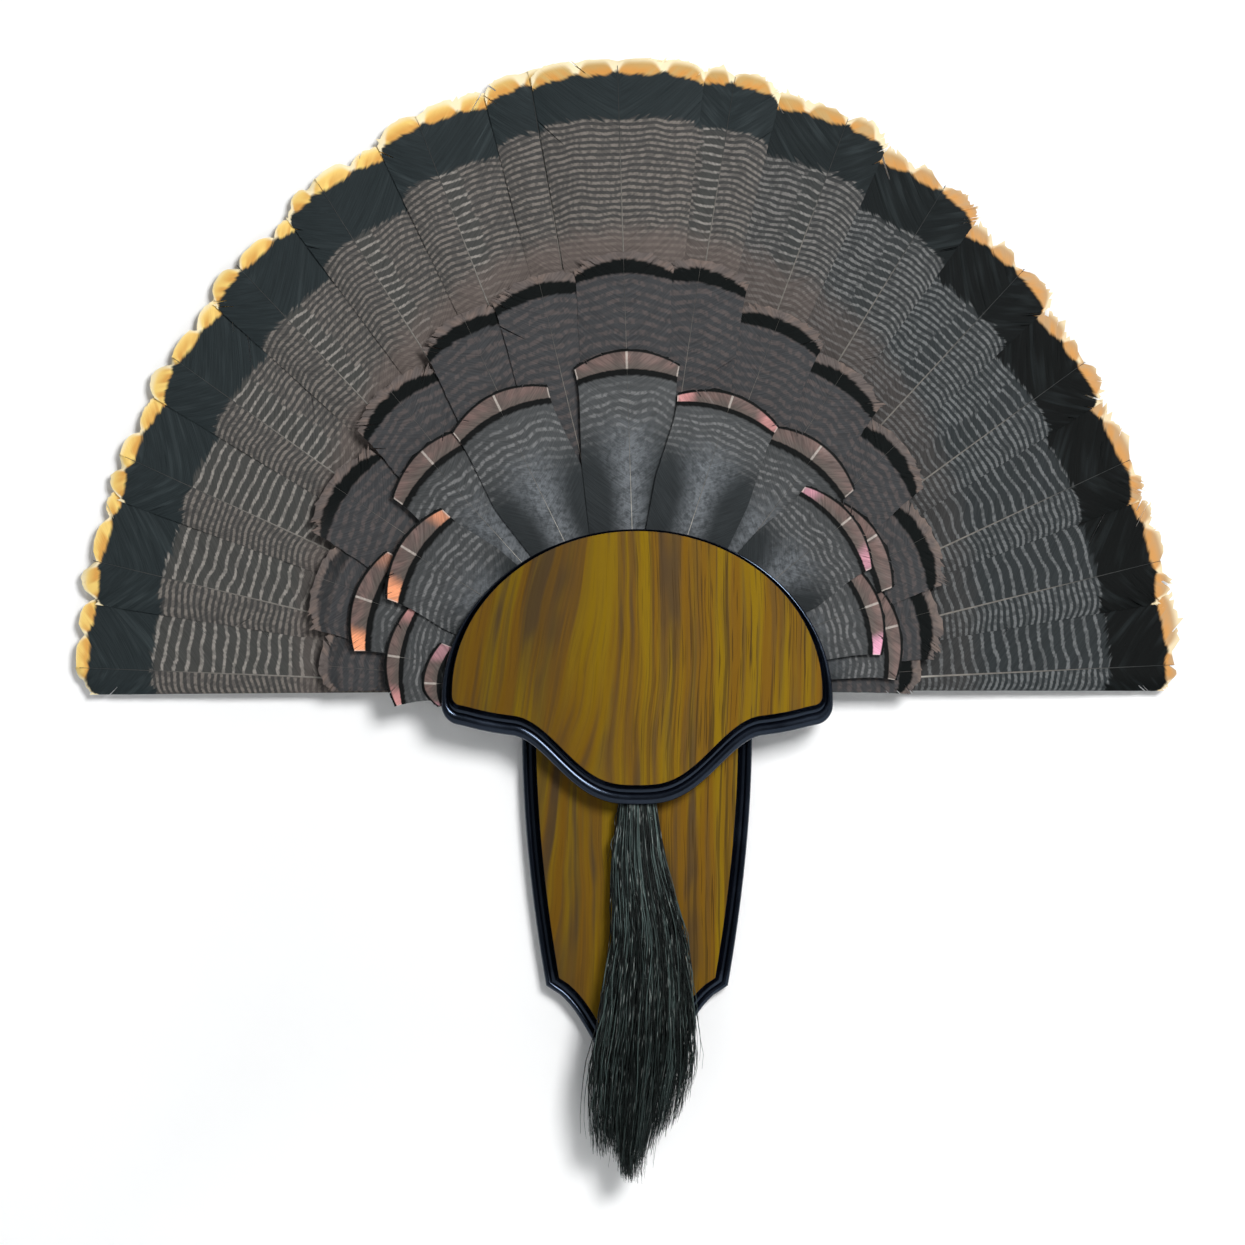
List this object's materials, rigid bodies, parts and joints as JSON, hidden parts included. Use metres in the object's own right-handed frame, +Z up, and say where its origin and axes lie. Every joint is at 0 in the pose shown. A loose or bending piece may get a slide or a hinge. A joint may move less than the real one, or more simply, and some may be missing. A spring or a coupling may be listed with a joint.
{
  "type": "turkey tail fan and beard wall plaque",
  "caption": "Wall-hung plaque that shows a spread turkey tail fan, clamped under a wood-grain cap, above a beard that hangs on a screw.",
  "frame": {"origin": "on the flat back of the board, which lies on the wall, where the lines of all the quills meet", "axes": "+Z up, +Y into the wall along the outward normal of the board's back, +X to the right seen from the front; the front faces -Y"},
  "size_m": [0.7173, 0.0425, 0.7274],
  "materials": {
    "black_lacquer": "gloss black lacquer on a moulded wood board",
    "board_wood_grain": "satin wood-grain sheet",
    "cap_wood_grain": "satin wood-grain sheet",
    "tail_vane": "barred grey-brown feather with a black band and a tan tip",
    "major_covert_vane": "grey-brown feather with a black crescent and a brown tip",
    "middle_covert_vane": "grey feather with a copper strip and a black edge",
    "lesser_covert_vane": "grey feather with a copper strip and a black edge",
    "cured_hide": "dried skin, matt",
    "beard_bristle": "coarse black bristle with a soft sheen",
    "zinc_steel": "zinc-plated steel",
    "brassed_steel": "brassed steel sheet"
  },
  "bodies": {
    "plaque": {"beard_board": "black_lacquer", "beard_board_veneer": "board_wood_grain", "beard_screw": "zinc_steel", "cap_screw_01": "zinc_steel", "cap_screw_02": "zinc_steel", "cap_screw_03": "zinc_steel", "fan_base": "cured_hide", "fan_cap": "black_lacquer", "fan_cap_veneer": "cap_wood_grain", "hanger_nail_01": "zinc_steel", "hanger_nail_02": "zinc_steel", "lesser_covert_01": "lesser_covert_vane", "lesser_covert_02": "lesser_covert_vane", "lesser_covert_03": "lesser_covert_vane", "lesser_covert_04": "lesser_covert_vane", "lesser_covert_05": "lesser_covert_vane", "major_covert_01": "major_covert_vane", "major_covert_02": "major_covert_vane", "major_covert_03": "major_covert_vane", "major_covert_04": "major_covert_vane", "major_covert_05": "major_covert_vane", "major_covert_06": "major_covert_vane", "major_covert_07": "major_covert_vane", "major_covert_08": "major_covert_vane", "major_covert_09": "major_covert_vane", "major_covert_10": "major_covert_vane", "major_covert_11": "major_covert_vane", "major_covert_12": "major_covert_vane", "major_covert_13": "major_covert_vane", "major_covert_14": "major_covert_vane", "middle_covert_01": "middle_covert_vane", "middle_covert_02": "middle_covert_vane", "middle_covert_03": "middle_covert_vane", "middle_covert_04": "middle_covert_vane", "middle_covert_05": "middle_covert_vane", "middle_covert_06": "middle_covert_vane", "middle_covert_07": "middle_covert_vane", "short_covert": "lesser_covert_vane", "tail_feather_01": "tail_vane", "tail_feather_02": "tail_vane", "tail_feather_03": "tail_vane", "tail_feather_04": "tail_vane", "tail_feather_05": "tail_vane", "tail_feather_06": "tail_vane", "tail_feather_07": "tail_vane", "tail_feather_08": "tail_vane", "tail_feather_09": "tail_vane", "tail_feather_10": "tail_vane", "tail_feather_11": "tail_vane", "tail_feather_12": "tail_vane", "tail_feather_13": "tail_vane", "tail_feather_14": "tail_vane", "tail_feather_15": "tail_vane", "tail_feather_16": "tail_vane", "tail_feather_17": "tail_vane", "tail_feather_18": "tail_vane", "wall_hanger": "brassed_steel"},
    "beard": {"beard": "beard_bristle", "beard_root": "cured_hide"}
  },
  "joints": [
    {"name": "beard_swing", "type": "hinge", "parent": "plaque", "child": "beard", "pos_m": [0, -0.02278, -0.041], "axis": [0, 1, 0], "range_deg": [-8, 8]}
  ]
}
